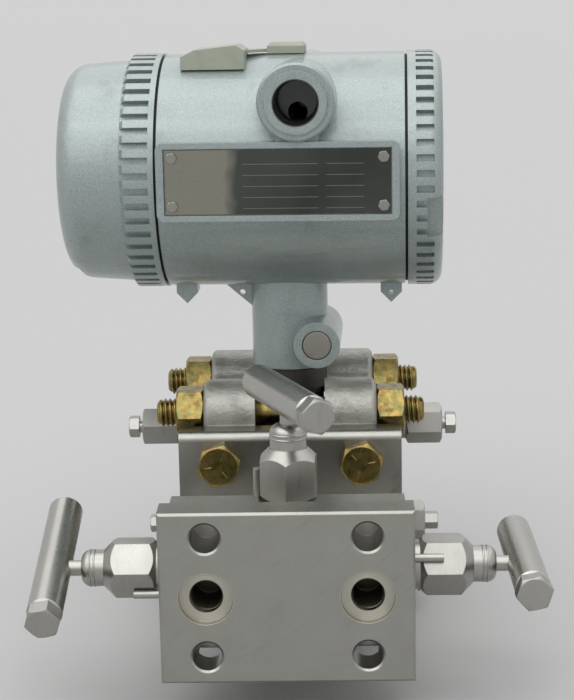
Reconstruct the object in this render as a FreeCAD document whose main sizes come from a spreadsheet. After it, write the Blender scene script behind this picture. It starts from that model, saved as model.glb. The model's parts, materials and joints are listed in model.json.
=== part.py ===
import FreeCAD, Part
import math
import os
import re
import Sketcher
from FreeCAD import Placement, Rotation, Vector

# A differential pressure transmitter on a three-valve manifold.
# Origin: middle of the manifold's process face. +X right, +Y towards the sensor, +Z up.
SIZES = {
    # manifold body: process plate, valve block, web and instrument plate
    "plate_width": 85.4, "plate_top": 29.5, "plate_bottom": 30.1, "plate_thick": 12.4,
    "plate_edge": 0.8, "block_half": 40.8, "block_top": 24.0, "block_back": 38.5,
    "web_half_width": 38.0, "web_half": 7.0, "rear_front": 93.0, "rear_thick": 10.2, "rear_width": 84.8,
    "rear_half": 32.2, "rear_round": 3.5, "port_x": 27.0, "bolt_up": 20.65, "bolt_bore": 5.0,
    "bolt_depth": 17.0, "bolt_radius": 4.75, "port_step": 9.2, "port_step_depth": 2.4, "port_bore": 5.6,
    "port_depth": 22.0, "port_shift": 2.9, "port_bypass": 2.2, "passage": 2.8, "seal_outer": 8.8,
    "seal_bore": 6.0, "seal_depth": 2.4, "bolt_flare": 0.7, "bolt_clear": 0.6, "bolt_across": 15.0,
    "bolt_turn": 45.0, "bolt_head": 6.8, "bolt_bite": 15.0, "fit_gap": 0.3, "run_gap": 0.1,
    # needle valves
    "valve_y": 32.5, "equalizer_x": 0.6, "equalizer_y": 35.0, "collar": 5.0, "collar_radius": 8.6,
    "bonnet_across": 19.0, "bonnet_hex": 18.4, "neck_wall": 3.55, "neck_long": 8.2, "neck_round": 3.2,
    "hex_bite": 0.5, "bonnet_thread": 7.0, "bonnet_clear": 4.3, "stem_radius": 2.75, "stem_thread": 4.6,
    "stem_step": 4.0, "side_show": 3.8, "equalizer_show": 2.8, "packing_low": 10.0, "packing_long": 5.0,
    "tip_radius": 3.6, "tip_nose": 3.2, "tip_slack": 0.6, "tip_room": 0.4, "tip_top": 5.2,
    "tip_point": 1.3, "bar_radius": 6.15, "side_near": 26.5, "side_far": 36.5, "equalizer_near": 23.4,
    "equalizer_far": 29.5, "bar_edge": 0.8, "bar_bolt_across": 11.1, "bar_bolt_turn": 12.0,
    "bar_bolt_head": 5.5, "bar_bolt_radius": 3.0, "pin_radius": 1.45, "side_pin": 12.8,
    "equalizer_pin": 10.7, "pin_sink": 4.0, "left_bar_turn": 163.3, "right_bar_turn": 0.0,
    "equalizer_bar_turn": 22.1, "left_hex_turn": 6.0, "right_hex_turn": 1.0, "equalizer_hex_turn": -4.0,
    "left_pin_turn": 66.0, "right_pin_turn": -120.0, "equalizer_pin_turn": -184.0,
    "left_pin_aside": -2.5, "right_pin_aside": 0.0, "equalizer_pin_aside": 0.0,
    # sensor cell and process flanges, about the cell's centre line
    "cell_reach": 40.0, "sensor_half": 12.0, "sensor_radius": 35.5, "gasket_thick": 1.5,
    "gasket_outer": 30.0, "gasket_room": 0.6, "diaphragm_radius": 24.6, "diaphragm_thick": 0.3,
    "diaphragm_gap": 0.6, "diaphragm_open": 22.0, "flange_thick": 20.0, "flange_radius": 39.2,
    "lobe_radius": 12.7, "stud_y": 27.0, "stud_z": 34.6, "cast_round": 2.5, "lobe_blend": 5.0,
    "boss_outer": 40.5, "boss_half": 32.4, "boss_back": 14.0, "boss_corner": 10.5, "vent_y": 4.8,
    "vent_z": 20.8, "vent_boss": 10.5, "vent_proud": 7.5, "cavity_depth": 1.2, "cavity_radius": 24.0,
    "stud_radius": 5.5, "stud_out": 7.7, "stud_bevel": 0.8, "nut_across": 18.6, "nut_thick": 10.8,
    "nut_room": 0.6, "collar_rise": 8.8, "sensor_collar": 14.6, "neck_dip": 4.0, "stem_long": 26.0,
    "sensor_stem": 11.0, "stem_room": 1.0,
    # vent valves and drain plugs in the flanges' sides
    "plug_thread": 6.4, "plug_taper": 0.6, "plug_depth": 10.0, "plug_neck": 5.4, "plug_across": 14.3,
    "plug_hex": 14.6, "plug_turn": 14.0, "drain_hex": 7.6, "drain_tip": 5.5, "drain_across": 6.5,
    "vent_ball": 1.5, "vent_hole": 0.9, "vent_screw": 2.6, "vent_screw_gap": 1.6,
    "vent_screw_across": 8.0, "vent_screw_head": 4.2, "vent_seat": 4.0, "vent_lift": 1.5,
    # housing, about its own axis
    "housing_z": 126.3, "housing_radius": 45.4, "housing_half": 46.3, "swivel_rest": -2.4,
    "spigot_radius": 41.0, "left_spigot": 12.0, "right_spigot": 9.8, "spigot_wall": 4.0,
    "wall_left": -16.0, "wall_right": -10.0, "conduit_x": 6.4, "conduit_z": 29.8,
    "conduit_radius": 14.5, "boss_bite": 13.6, "conduit_proud": 5.8, "conduit_bore": 8.3,
    "conduit_ring": 11.6, "conduit_step": 1.4, "conduit_bevel": 0.8, "conduit_depth": 17.0,
    "conduit_throat": 11.5, "conduit_passage": 3.7, "conduit_shift": 4.5, "rear_head": 3.0,
    "rear_socket": 4.8, "rear_deep": 7.0, "foot_half": 8.0, "foot_drop": 15.8, "foot_size": 6.0,
    "foot_proud": 0.6, "neck_outer": 15.2, "swivel_gap": 0.4, "wire_bore": 4.5, "side_x": 11.6,
    "side_rise": 11.8, "side_radius": 9.1, "side_front": 23.2, "side_back": 16.0, "side_plug": 5.8,
    "side_bevel": 0.5, "side_plug_long": 7.0, "gusset_thick": 4.0, "gusset_out": 25.0,
    "gusset_down": 10.5, "gusset_hole": 1.2, "seal_hole": 3.6, "lug_in": 5.6, "lug_half": 4.2,
    "lug_out": 3.2, "lug_point": 4.2, "lug_thick": 10.0, "lug_hole": 1.1, "lug_drop": 0.4,
    "frame_side": 2.85, "frame_rail": 2.3, "frame_centre": 0.7, "frame_proud": 2.4, "frame_corner": 3.0,
    "floor_proud": 1.0, "pad_bite": 5.4, "tag_width": 83.9, "tag_high": 24.0, "tag_thick": 0.8,
    "tag_x": -0.9, "tag_room": 0.4, "tag_screw_in": 2.65, "tag_screw_down": 3.0,
    "tag_screw_across": 3.9, "tag_screw_head": 1.1, "tag_screw_turn": 8.0, "tag_screw_radius": 0.9,
    "tag_screw_long": 2.6,
    # covers
    "seal_wire": 0.9, "seal_out": 2.9, "cover_gap": 1.0, "cover_wall": 3.2, "cap_proud": 0.4,
    "cap_step": 2.4, "cap_taper": 1.7, "left_cap_long": 38.6, "right_cap_long": 13.2, "cap_rim": 2.2,
    "grip_long": 9.4, "grip_slope": 1.6, "grip_count": 50, "grip_width": 2.6, "grip_depth": 2.2,
    "cap_corner": 9.5, "right_corner": 5.0, "notch_half": 8.0, "notch_depth": 3.6,
    "left_notch_turn": 72.0, "right_notch_turn": -18.0, "cap_thick": 2.5, "cap_draft": 2.0,
    "right_rim": 3.2, "right_shoulder": 3.4, "notch_in": 6.0,
    # adjusters on the housing's top
    "zero_x": -26.5, "zero_y": -12.2, "span_x": 0.5, "span_y": 2.0, "adjust_room": 0.4,
    "adjust_deep": 9.4, "adjust_screw": 4.6, "adjust_head": 3.0, "adjust_sunk": 2.0, "adjust_pin": 1.2,
    "adjust_pin_long": 2.0, "zero_half": 10.0, "zero_long": 12.2, "zero_drop": 4.2, "zero_dip": 1.6,
    "zero_bend": 7.0, "zero_peak": 9.0, "zero_edge": 2.0, "span_half": 7.3, "span_bevel": 1.2,
    "cover_high": 4.1, "zero_skirt": 4.9, "span_skirt": 3.4, "strap_low": 0.7, "strap_high": 1.8,
    "plug_slack": 0.6, "plug_reach": 5.9,
    # inside the housing
    "module_room": 3.0, "module_proud": 3.7, "module_edge": 6.0, "module_back": 0.3, "block_room": 7.0,
    "block_thick": 14.0, "terminal_spot": 17.0, "terminal_radius": 3.4, "terminal_high": 3.0,
    "slot_reach": 5.0, "slot_half": 0.5, "slot_deep": 0.6,
    # how far cuts and roots run past what they meet, and how hexagons are turned off
    "overcut": 1.0, "cut_over": 4.0, "mould_reach": 60.0, "notch_over": 3.0, "bar_clear": 0.2,
    "hex_rim": 0.475, "hex_reach": 0.7, "hex_slope": 30.0, "shoulder_rise": 0.5,
    "gusset_bite": 2.0, "gusset_root": 6.0, "gusset_lap": 0.4,
    "strap_near": 4.0, "strap_far": 9.0, "strap_up": 3.0, "strap_down": 2.0,
}

# What seats on, fits round or lines up with another piece follows these.
FITS = {
    "cell_y": "rear_front + rear_thick + cell_reach",
    "vent_face": "sensor_half + gasket_thick + flange_thick + vent_proud",
    "stud_end": "sensor_half + gasket_thick + flange_thick + nut_thick + stud_out",
    "stud_bore": "stud_radius + fit_gap",
    "gasket_inner": "diaphragm_radius + gasket_room",
    "collar_top": "flange_radius + collar_rise",
    "stem_top": "collar_top + stem_long",
    "neck_bottom": "collar_top + swivel_gap",
    "side_z": "collar_top + side_rise",
    "plug_bore": "plug_thread + run_gap",
    "chamber": "stem_thread + fit_gap",
    "neck_radius": "stem_radius + run_gap + neck_wall",
    "tip_bore": "tip_radius + tip_slack",
    "cover_bore": "spigot_radius + fit_gap",
    "room_radius": "spigot_radius - spigot_wall",
    "module_radius": "room_radius - module_room",
    "module_face": "module_radius - module_edge",
    "module_end": "-(housing_half + module_proud)",
    "module_step": "-(housing_half - module_back)",
    "block_radius": "room_radius - block_room",
    "block_end": "wall_right + block_thick",
    "seal_ring": "spigot_radius + seal_out",
    "cap_radius": "housing_radius + cap_proud",
    "cap_body": "cap_radius - cap_step",
    "cap_end": "cap_body - cap_taper",
    "cap_room": "spigot_radius - cap_thick",
    "cap_inner": "cap_room - cap_draft",
    "frame_face": "housing_radius + frame_proud",
    "frame_floor": "housing_radius + floor_proud",
    "pad_root": "housing_radius - pad_bite",
    "frame_half_width": "tag_width / 2 + tag_room + frame_side",
    "frame_half_high": "tag_high / 2 + tag_room + frame_rail",
    "tag_screw_x": "tag_width / 2 - tag_screw_in",
    "tag_screw_z": "tag_high / 2 - tag_screw_down",
    "conduit_face": "housing_radius + conduit_proud",
    "boss_root": "housing_radius - boss_bite",
    "foot_face": "housing_radius + foot_proud",
    "foot_low": "conduit_z - foot_drop",
    "foot_high": "foot_low + foot_size",
    "lug_x": "housing_half - lug_in",
    "lug_side": "housing_radius + lug_out",
    "lug_tip": "lug_side + lug_point",
    "adjust_seat": "housing_radius - adjust_deep",
    "adjust_radius": "adjust_screw + adjust_room",
    "adjust_plug": "adjust_radius - plug_slack",
    "adjust_plug_end": "housing_radius - plug_reach",
    "cover_top": "housing_radius + cover_high",
    "zero_base": "housing_radius - zero_skirt",
    "span_base": "housing_radius - span_skirt",
    "strap_base": "housing_radius + strap_low",
    "strap_top": "housing_radius + strap_high",
}

doc = FreeCAD.newDocument("Transmitter")
sheet = doc.addObject("Spreadsheet::Sheet", "Sizes")
for line, (alias, size) in enumerate(SIZES.items(), 1):
    sheet.set(f"A{line}", alias)
    sheet.set(f"B{line}", str(size))
    sheet.setAlias(f"B{line}", alias)
doc.recompute()

pieces = []


def written_out(word):
    if word[0] in FITS:
        return f"({formula(FITS[word[0]])})"
    return f"Sizes.{word[0]}" if word[0] in SIZES else word[0]


def formula(text):
    """A size formula with each name written out the way an expression reads it."""
    return re.sub(r"[a-z][a-z_0-9]*", written_out, text)


def amount(text):
    """The value that a size formula has now."""
    return float(sheet.evalExpression(formula(text)))


def bind(thing, name, text):
    setattr(thing, name, amount(text))
    thing.setExpression(name, formula(text))


# ---- drawing ----

def make_body(label):
    piece = doc.addObject("PartDesign::Body", label)
    pieces.append(piece)
    return piece


def datum(piece, role):
    return next(part for part in piece.Origin.OriginFeatures if part.Role == role)


def sketch_on(piece, role, away="0"):
    """A sketch on one of the body's own planes, moved out along its normal."""
    sketch = piece.newObject("Sketcher::SketchObject", f"{piece.Label}_sketch")
    sketch.AttachmentSupport = [(datum(piece, role), "")]
    sketch.MapMode = "FlatFace"
    sketch.AttachmentOffset = Placement(Vector(0, 0, amount(away)), Rotation())
    sketch.setExpression("AttachmentOffset.Base.z", formula(away))
    return sketch


def hold(sketch, edge, point, x, y):
    """Ties one point of an edge to the sketch's origin by its two distances."""
    for kind, axis, place in (("DistanceX", -2, x), ("DistanceY", -1, y)):
        if place == "0":
            sketch.addConstraint(Sketcher.Constraint("PointOnObject", edge, point, axis))
        else:
            tie = sketch.addConstraint(Sketcher.Constraint(kind, -1, 1, edge, point, amount(place)))
            sketch.setExpression(f"Constraints[{tie}]", formula(place))


def outline(sketch, corners):
    """Edges closed through corners given as size formulas; a third formula rounds a square corner."""
    spots = [Vector(amount(corner[0]), amount(corner[1]), 0) for corner in corners]
    trail = []
    for step, corner in enumerate(corners):
        if len(corner) == 2:
            trail.append((corner[0], corner[1], None))
            continue
        x, y, radius = corner
        came = (spots[step] - spots[step - 1]).normalize()
        goes = (spots[(step + 1) % len(spots)] - spots[step]).normalize()
        trail.append((beside(x, -came.x, radius), beside(y, -came.y, radius), (came, goes, radius)))
        trail.append((beside(x, goes.x, radius), beside(y, goes.y, radius), None))
    ends = [trail_edge(sketch, spot, following) for spot, following in zip(trail, trail[1:] + trail[:1])]
    for step, (x, y, bend) in enumerate(trail):
        edge, start, end = ends[step]
        following, following_start, _ = ends[(step + 1) % len(ends)]
        sketch.addConstraint(Sketcher.Constraint("Coincident", edge, end, following, following_start))
        hold(sketch, edge, start, x, y)
        if bend:
            tie = sketch.addConstraint(Sketcher.Constraint("Radius", edge, amount(bend[2])))
            sketch.setExpression(f"Constraints[{tie}]", formula(bend[2]))
    return sketch


def beside(place, step, radius):
    return place if abs(step) < 0.5 else f"{place} {'+' if step > 0 else '-'} ({radius})"


def trail_edge(sketch, spot, following):
    """Adds the line or the corner's arc between two spots; returns it with its start and end points."""
    start = Vector(amount(spot[0]), amount(spot[1]), 0)
    end = Vector(amount(following[0]), amount(following[1]), 0)
    if spot[2] is None:
        return sketch.addGeometry(Part.LineSegment(start, end), False), 1, 2
    came, goes, radius = spot[2]
    centre = start + goes * amount(radius)
    left_turn = came.cross(goes).z > 0
    first, last = (start, end) if left_turn else (end, start)
    angles = [math.atan2(point.y - centre.y, point.x - centre.x) for point in (first, last)]
    ring = Part.Circle(centre, Vector(0, 0, 1), amount(radius))
    edge = sketch.addGeometry(Part.ArcOfCircle(ring, *angles), False)
    return (edge, 1, 2) if left_turn else (edge, 2, 1)


def oblong(sketch, left, low, right, high):
    return outline(sketch, [(left, low), (right, low), (right, high), (left, high)])


def circle(sketch, x, y, radius):
    ring = Part.Circle(Vector(amount(x), amount(y), 0), Vector(0, 0, 1), amount(radius))
    edge = sketch.addGeometry(ring, False)
    hold(sketch, edge, 3, x, y)
    tie = sketch.addConstraint(Sketcher.Constraint("Radius", edge, amount(radius)))
    sketch.setExpression(f"Constraints[{tie}]", formula(radius))
    return sketch


def circles(sketch, spots, radius):
    for x, y in spots:
        circle(sketch, x, y, radius)
    return sketch


def hexagon(sketch, across, turn="0"):
    corners = [(f"({across}) / sqrt(3) * cos({60 * step} + {turn})",
                f"({across}) / sqrt(3) * sin({60 * step} + {turn})") for step in range(6)]
    return outline(sketch, corners)


def four(x, y):
    """The four corners at plus and minus x and y."""
    return [(f"{across}({x})", f"{up}({y})") for across in ("-", "+") for up in ("-", "+")]


# ---- features ----

def feature(piece, kind, profile, **settings):
    made = piece.newObject(f"PartDesign::{kind}", f"{piece.Label}_{kind.lower()}")
    made.Profile = profile
    for name, value in settings.items():
        if isinstance(value, str) and name.startswith("Length"):
            bind(made, name, value)
        else:
            setattr(made, name, value)
    return made


def pad(piece, profile, length, back=False, both=False):
    return feature(piece, "Pad", profile, Length=length, Reversed=back, Midplane=both)


def pocket(piece, profile, length, back=False, both=False):
    return feature(piece, "Pocket", profile, Length=length, Reversed=back, Midplane=both)


def turned(piece, corners, kind="Revolution"):
    """Corners (along X, out from it) turned about the body's X axis."""
    profile = outline(sketch_on(piece, "XZ_Plane"), corners)
    return feature(piece, kind, profile, ReferenceAxis=(profile, ["H_Axis"]), Angle=360)


def standing(piece, corners, kind="Revolution"):
    """Corners (out from Z, along it) turned about the body's Z axis."""
    profile = outline(sketch_on(piece, "XZ_Plane"), corners)
    return feature(piece, kind, profile, ReferenceAxis=(profile, ["V_Axis"]), Angle=360)


def dressed(piece, kind, size, chosen):
    """Rounds or bevels the edges of the body so far that chosen() picks."""
    doc.recompute()
    base = piece.Tip
    names = [f"Edge{place}" for place, edge in enumerate(base.Shape.Edges, 1) if chosen(edge)]
    made = piece.newObject(f"PartDesign::{kind}", f"{piece.Label}_{kind.lower()}")
    made.Base = (base, names)
    bind(made, "Radius" if kind == "Fillet" else "Size", size)
    return made


def hex_bar(piece, start, end, across, turn="0", ends=(False, True)):
    """A hexagon along X whose corners are turned off at the chosen ends."""
    made = [pad(piece, hexagon(sketch_on(piece, "YZ_Plane", start), across, turn), f"({end}) - ({start})")]
    rim, reach = f"({across}) * hex_rim", f"({across}) * hex_reach"
    slope = f"({reach} - {rim}) * tan(hex_slope)"
    for place, sign, wanted in ((start, "+", ends[0]), (end, "-", ends[1])):
        if wanted:
            corner = [(place, rim), (f"({place}) {sign} {slope}", reach), (place, reach)]
            made.append(turned(piece, corner, "Groove"))
    return made


def rows(piece, originals, across, up):
    """Repeats features at the four corners of a rectangle that starts at the body's origin."""
    made = piece.newObject("PartDesign::LinearPattern", f"{piece.Label}_rows")
    made.Originals = originals
    made.Direction = (datum(piece, "Y_Axis"), [""])
    made.Direction2 = (datum(piece, "Z_Axis"), [""])
    bind(made, "Length", across)
    bind(made, "Length2", up)
    made.Occurrences = 2
    made.Occurrences2 = 2
    piece.Tip = made
    return made


def around(piece, originals, count):
    """Repeats features evenly about the body's X axis."""
    made = piece.newObject("PartDesign::PolarPattern", f"{piece.Label}_ring")
    made.Originals = originals
    made.Axis = (datum(piece, "X_Axis"), [""])
    made.Angle = 360
    made.setExpression("Occurrences", formula(count))
    made.Occurrences = int(amount(count))
    piece.Tip = made
    return made


def place(piece, x="0", y="0", z="0", turn=Rotation()):
    piece.Placement = Placement(Vector(amount(x), amount(y), amount(z)), turn)
    for axis, text in (("x", x), ("y", y), ("z", z)):
        piece.setExpression(f"Placement.Base.{axis}", formula(text))
    return piece


NEAR = 0.01  # how close an edge lies to the place it is looked for at
RIGHT = Rotation()
LEFT = Rotation(Vector(0, 0, 1), 180)
UP = Rotation(Vector(0, 1, 0), -90)
AWAY = Rotation(Vector(0, 0, 1), 90)
SIDES = (("left", "-", LEFT), ("right", "+", RIGHT))


# ---- manifold ----

def manifold_body():
    body = make_body("manifold_body")
    plate = sketch_on(body, "XZ_Plane")
    pad(body, oblong(plate, "-plate_width / 2", "-plate_bottom", "plate_width / 2", "plate_top"),
        "plate_thick", back=True)
    dressed(body, "Chamfer", "plate_edge", lambda edge: edge.CenterOfMass.y < NEAR)
    block = sketch_on(body, "XZ_Plane", "-plate_thick / 2")
    pad(body, oblong(block, "-block_half", "-block_top", "block_half", "block_top"),
        "block_back - plate_thick / 2", back=True)
    web = sketch_on(body, "XZ_Plane", "-(block_back - overcut)")
    pad(body, oblong(web, "-web_half_width", "-web_half", "web_half_width", "web_half"),
        "rear_front - block_back + 2 * overcut", back=True)
    rear = sketch_on(body, "XZ_Plane", "-rear_front")
    pad(body, oblong(rear, "-rear_width / 2", "-rear_half", "rear_width / 2", "rear_half"),
        "rear_thick", back=True)
    front_y = amount("rear_front")
    high = amount("rear_half")
    dressed(body, "Fillet", "rear_round", lambda edge: (
        abs(edge.CenterOfMass.y - front_y) < NEAR and abs(abs(edge.CenterOfMass.z) - high) < NEAR))
    manifold_bores(body)
    valve_bores(body)


def manifold_bores(body):
    """Ports, bolt holes and the passage through each leg."""
    front = sketch_on(body, "XZ_Plane")
    pocket(body, circles(front, four("port_x", "bolt_up"), "bolt_bore"), "bolt_depth")
    dressed(body, "Chamfer", "bolt_flare", lambda edge: (
        abs(edge.CenterOfMass.y) < NEAR and len(edge.Vertexes) == 1))
    legs = [("-port_x", "0"), ("port_x", "0")]
    pocket(body, circles(sketch_on(body, "XZ_Plane"), legs, "port_step"), "port_step_depth")
    pocket(body, circles(sketch_on(body, "XZ_Plane"), legs, "port_bore"), "port_depth")
    inlets = [("-(port_x - port_shift)", "0"), ("port_x - port_shift", "0")]
    pocket(body, circles(sketch_on(body, "XZ_Plane"), inlets, "port_bypass"), "valve_y")
    back = "-(rear_front + rear_thick)"
    outlets = circles(sketch_on(body, "XZ_Plane", back), legs, "passage")
    pocket(body, outlets, "rear_front + rear_thick - valve_y", back=True)
    pocket(body, circles(sketch_on(body, "XZ_Plane", back), legs, "seal_outer"), "seal_depth", back=True)
    holes = sketch_on(body, "XZ_Plane", back)
    pocket(body, circles(holes, four("port_x", "bolt_up"), "bolt_radius + bolt_clear"),
           "rear_thick + 1", back=True)


def valve_bores(body):
    """Bonnet thread, tip bore and pin hole of each valve, and the equalizing passage."""
    side_reach = "(block_half - port_x)"
    for sign in ("-", "+"):
        face = f"{sign}(block_half)"
        inward = sign == "-"
        thread = circle(sketch_on(body, "YZ_Plane", face), "valve_y", "0", "bonnet_thread + run_gap")
        pocket(body, thread, f"{side_reach} - bonnet_clear + run_gap", back=inward)
        tip = circle(sketch_on(body, "YZ_Plane", face), "valve_y", "0", "tip_bore")
        pocket(body, tip, f"{side_reach} + bonnet_clear + tip_room", back=inward)
    top = circle(sketch_on(body, "XY_Plane", "block_top"), "equalizer_x", "equalizer_y",
                 "bonnet_thread + run_gap")
    pocket(body, top, "block_top - bonnet_clear + run_gap")
    tip = circle(sketch_on(body, "XY_Plane", "block_top"), "equalizer_x", "equalizer_y", "tip_bore")
    pocket(body, tip, "block_top + bonnet_clear + tip_room")
    cross = circle(sketch_on(body, "YZ_Plane", "-port_x"), "equalizer_y", "0", "passage")
    pocket(body, cross, "2 * port_x", back=True)
    for name, frame, x, y, z in valve_seats():
        pin_hole(body, Vector(amount(x), amount(y), amount(z)), frame, pin_spot(name))


def pin_hole(body, seat, frame, aside):
    """A blind hole beside the bonnet hexagon, square to the valve's seat face."""
    spot = seat + frame.multVec(aside)
    inward = frame.multVec(Vector(-1, 0, 0))
    role = "XY_Plane" if abs(inward.z) > 0.5 else "YZ_Plane"
    along = spot.z if role == "XY_Plane" else spot.x
    flat = (spot.x, spot.y) if role == "XY_Plane" else (spot.y, spot.z)
    hole = sketch_on(body, role, str(round(along, 4)))
    circle(hole, str(round(flat[0], 4)), str(round(flat[1], 4)), "pin_radius + run_gap / 2")
    pocket(body, hole, "pin_sink", back=inward.x > 0.5)


def bolts_and_seals():
    bolts = make_body("manifold_bolts")
    shank = circle(sketch_on(bolts, "YZ_Plane", "-bolt_head / 2"), "0", "0", "bolt_radius")
    made = [pad(bolts, shank, "bolt_head / 2 + rear_thick + bolt_bite")]
    made += hex_bar(bolts, "-bolt_head", "0", "bolt_across", "bolt_turn", ends=(True, False))
    rows(bolts, made, "2 * port_x", "2 * bolt_up")
    place(bolts, "port_x", "rear_front", "-bolt_up", AWAY)
    seals = make_body("process_seals")
    legs = [("-port_x", "0"), ("port_x", "0")]
    back = sketch_on(seals, "XZ_Plane")
    circles(back, legs, "seal_outer")
    circles(back, legs, "seal_bore")
    pad(seals, back, "seal_depth")
    place(seals, y="rear_front + rear_thick")


# ---- needle valves ----

def valve_seats():
    """Name, frame and seat centre of each valve."""
    return (("left", LEFT, "-block_half", "valve_y", "0"),
            ("right", RIGHT, "block_half", "valve_y", "0"),
            ("equalizer", UP, "equalizer_x", "equalizer_y", "block_top"))


def pin_spot(name):
    """Where a retaining pin lies beside the bonnet's hexagon: along one flat, touching it."""
    reach = amount("bonnet_across / 2 + pin_radius + run_gap / 2")
    turn = Rotation(Vector(1, 0, 0), amount(f"{name}_pin_turn"))
    return turn.multVec(Vector(0, amount(f"{name}_pin_aside"), -reach))


def bonnet(label, reach, collar):
    """Bonnet: thread into the block, collar, hexagon, rounded neck, packing chamber."""
    body = make_body(label)
    low = f"-({reach} - bonnet_clear)"
    hex_end = f"({collar} + bonnet_hex)"
    tip = f"({hex_end} + neck_long)"
    chamber_end = "(packing_low + packing_long)"
    turned(body, [(low, "chamber"), (chamber_end, "chamber"), (chamber_end, "stem_radius + run_gap"),
                  (tip, "stem_radius + run_gap"), (tip, "neck_radius"), (f"{collar} + 1", "neck_radius"),
                  (f"{collar} + 1", "collar_radius"), ("0", "collar_radius"),
                  ("0", "bonnet_thread"), (low, "bonnet_thread")])
    end = amount(tip)
    dressed(body, "Fillet", "neck_round", lambda edge: (
        abs(edge.CenterOfMass.x - end) < NEAR and edge.BoundBox.YLength > amount("neck_radius * 1.9")))
    ring = sketch_on(body, "YZ_Plane", collar)
    return body, ring, hex_end


def finish_bonnet(body, ring, collar, turn):
    """The hexagon round the bonnet, hollow over the packing chamber."""
    hexagon(ring, "bonnet_across", turn)
    circle(ring, "0", "0", "neck_radius - hex_bite")
    pad(body, ring, "bonnet_hex")
    rim, root, reach = "(collar_radius + run_gap)", "(neck_radius + fit_gap)", "bonnet_across * hex_reach"
    end = f"({collar} + bonnet_hex)"
    turned(body, [(end, root), (f"{end} - ({reach} - {root})", reach), (end, reach)], "Groove")
    turned(body, [(collar, rim), (f"{collar} + {reach} - {rim}", reach), (collar, reach)], "Groove")


def valve(name, frame, x, y, z):
    kind = "equalizer" if name == "equalizer" else "side"
    reach = "block_top" if name == "equalizer" else "(block_half - port_x)"
    collar = "0" if name == "equalizer" else "collar"
    spin = Rotation(Vector(1, 0, 0), amount(f"{name}_bar_turn"))
    body, ring, hex_end = bonnet(f"{name}_bonnet", reach, collar)
    finish_bonnet(body, ring, collar, f"{name}_hex_turn")
    place(body, x, y, z, frame)

    packing = make_body(f"{name}_packing")
    turned(packing, [("packing_low", "stem_radius + run_gap"), ("packing_low", "chamber - run_gap / 2"),
                     ("packing_low + packing_long", "chamber - run_gap / 2"),
                     ("packing_low + packing_long", "stem_radius + run_gap")])
    place(packing, x, y, z, frame)

    pin = make_body(f"{name}_lock_pin")
    spot = pin_spot(name)
    round_pin = sketch_on(pin, "YZ_Plane", "-pin_sink")
    circle(round_pin, str(round(spot.y, 4)), str(round(spot.z, 4)), "pin_radius")
    pad(pin, round_pin, f"pin_sink + {kind}_pin")
    place(pin, x, y, z, frame)

    tip = make_body(f"{name}_valve_tip")
    turned(tip, [(f"-({reach}) - tip_radius", "0"), (f"-({reach}) - tip_radius", "tip_point"),
                 (f"-({reach}) - tip_radius + tip_nose", "tip_radius"),
                 (f"-({reach}) + tip_top", "tip_radius"), (f"-({reach}) + tip_top", "0")])
    place(tip, x, y, z, frame)

    stem = make_body(f"{name}_stem")
    base = f"-({reach}) + tip_top + fit_gap"
    top = f"({hex_end} + neck_long + {kind}_show + bar_radius)"
    turned(stem, [(base, "0"), (base, "stem_thread"), ("stem_step", "stem_thread"),
                  ("stem_step", "stem_radius"), (top, "stem_radius"), (top, "0")])
    place(stem, x, y, z, frame.multiply(spin))
    handle(name, kind, x, y, z, frame.multiply(spin), top)


def handle(name, kind, x, y, z, frame, middle):
    """T-bar drilled for the stem and, from its near end, for the bolt that grips the stem."""
    near, far = f"{kind}_near", f"{kind}_far"
    bar = make_body(f"{name}_handle")
    pad(bar, circle(sketch_on(bar, "XZ_Plane", near), middle, "0", "bar_radius"), f"{near} + {far}",
        back=True)
    dressed(bar, "Chamfer", "bar_edge", lambda edge: len(edge.Vertexes) == 1)
    pocket(bar, circle(sketch_on(bar, "XZ_Plane", near), middle, "0", "bar_bolt_radius + run_gap"),
           f"{near} - 1")
    socket = sketch_on(bar, "YZ_Plane", f"{middle} + run_gap")
    pocket(bar, circle(socket, "0", "0", "stem_radius + run_gap / 2"), "2 * bar_radius")
    place(bar, x, y, z, frame)
    bolt = make_body(f"{name}_handle_bolt")
    grip_long = f"({near} - stem_radius - bar_clear)"
    shank = circle(sketch_on(bolt, "YZ_Plane", f"-{grip_long}"), "0", "0", "bar_bolt_radius")
    pad(bolt, shank, f"{grip_long} + bar_bolt_head / 2")
    hex_bar(bolt, "0", "bar_bolt_head", "bar_bolt_across", "bar_bolt_turn")
    seat = Vector(amount(x), amount(y), amount(z))
    under_head = frame.multVec(Vector(amount(middle), -amount(near), 0))
    bolt.Placement = Placement(seat + under_head, frame.multiply(Rotation(Vector(0, 0, 1), -90)))


# ---- sensor cell ----

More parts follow.
